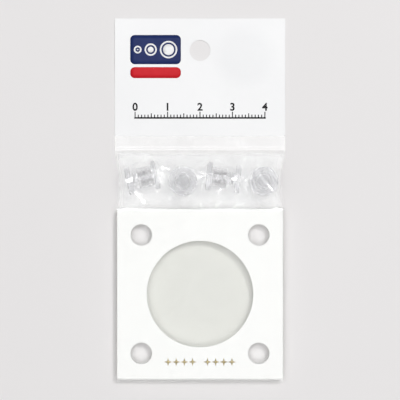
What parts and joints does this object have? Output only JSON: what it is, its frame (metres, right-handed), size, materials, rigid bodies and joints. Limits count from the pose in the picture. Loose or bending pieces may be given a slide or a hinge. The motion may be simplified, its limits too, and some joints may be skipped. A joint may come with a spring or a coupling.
{
  "type": "coin holder in header bag",
  "caption": "Three-plate acrylic holder for one large coin, clear covers on a white centre, with loose clear post-and-screw fasteners, in a hang-hole header bag.",
  "frame": {"origin": "middle of the pack's footprint, on the surface that it lies on", "axes": "+Y up the pack towards the header, +Z out of the pack's front, +X across it to the right"},
  "size_m": [0.0524, 0.112, 0.0099],
  "materials": {
    "header_film": "white printed film, slightly glossy",
    "clear_film": "clear hazy film",
    "clear_acrylic": "clear polished",
    "white_acrylic": "white polished",
    "clear_fastener": "clear moulded"
  },
  "bodies": {
    "pouch": {"pouch_back_film": "clear_film", "pouch_front_film": "clear_film"},
    "header": {"header_panel": "header_film"},
    "back_cover_plate": {"back_cover_plate": "clear_acrylic"},
    "centre_plate": {"centre_plate": "white_acrylic"},
    "front_cover_plate": {"front_cover_plate": "clear_acrylic"},
    "screw_1": {"screw_1": "clear_fastener"},
    "post_1": {"post_1": "clear_fastener"},
    "screw_2": {"screw_2": "clear_fastener"},
    "post_2": {"post_2": "clear_fastener"},
    "screw_3": {"screw_3": "clear_fastener"},
    "post_3": {"post_3": "clear_fastener"},
    "screw_4": {"screw_4": "clear_fastener"},
    "post_4": {"post_4": "clear_fastener"}
  },
  "joints": [
    {"name": "header_fold", "type": "hinge", "parent": "pouch", "child": "header", "pos_m": [0, 0.01965, 0.0002], "axis": [1, 0, 0], "range_deg": [0, 110]},
    {"name": "back_cover_slide", "type": "slide", "parent": "pouch", "child": "back_cover_plate", "axis": [0, -1, 0], "range_m": [0, 0.0532]},
    {"name": "centre_plate_slide", "type": "slide", "parent": "pouch", "child": "centre_plate", "axis": [0, -1, 0], "range_m": [0, 0.0532]},
    {"name": "front_cover_slide", "type": "slide", "parent": "pouch", "child": "front_cover_plate", "axis": [0, -1, 0], "range_m": [0, 0.0532]},
    {"name": "screw_1_turn", "type": "hinge", "parent": "pouch", "child": "screw_1", "pos_m": [-0.02099, 0.00605, 0.00455], "axis": [0.9744, 0.225, 0], "range_deg": [-360.5, 855.5]},
    {"name": "post_1_travel", "type": "slide", "parent": "pouch", "child": "post_1", "axis": [-0.9744, -0.225, 0], "range_m": [-0.0008, 0.0019]},
    {"name": "screw_2_turn", "type": "hinge", "parent": "pouch", "child": "screw_2", "pos_m": [-0.00523, 0.0058, 0.00175], "axis": [0, 0, 1], "range_deg": [-360.5, 315.5]},
    {"name": "post_2_travel", "type": "slide", "parent": "pouch", "child": "post_2", "axis": [0, 0, -1], "range_m": [-0.0008, 0.0007]},
    {"name": "screw_3_turn", "type": "hinge", "parent": "pouch", "child": "screw_3", "pos_m": [0.01078, 0.00642, 0.00455], "axis": [-0.9945, 0.1045, 0], "range_deg": [-360.5, 1125.5]},
    {"name": "post_3_travel", "type": "slide", "parent": "pouch", "child": "post_3", "axis": [0.9945, -0.1045, 0], "range_m": [-0.0008, 0.0025]},
    {"name": "screw_4_turn", "type": "hinge", "parent": "pouch", "child": "screw_4", "pos_m": [0.01953, 0.0058, 0.00175], "axis": [0, 0, 1], "range_deg": [-360.5, 225.5]},
    {"name": "post_4_travel", "type": "slide", "parent": "pouch", "child": "post_4", "axis": [0, 0, -1], "range_m": [-0.0008, 0.0005]}
  ],
  "couplings": [
    {"joint": "screw_1_turn", "follows": "post_1_travel", "rad_per_m": 7854},
    {"joint": "screw_2_turn", "follows": "post_2_travel", "rad_per_m": 7854},
    {"joint": "screw_3_turn", "follows": "post_3_travel", "rad_per_m": 7854},
    {"joint": "screw_4_turn", "follows": "post_4_travel", "rad_per_m": 7854}
  ]
}
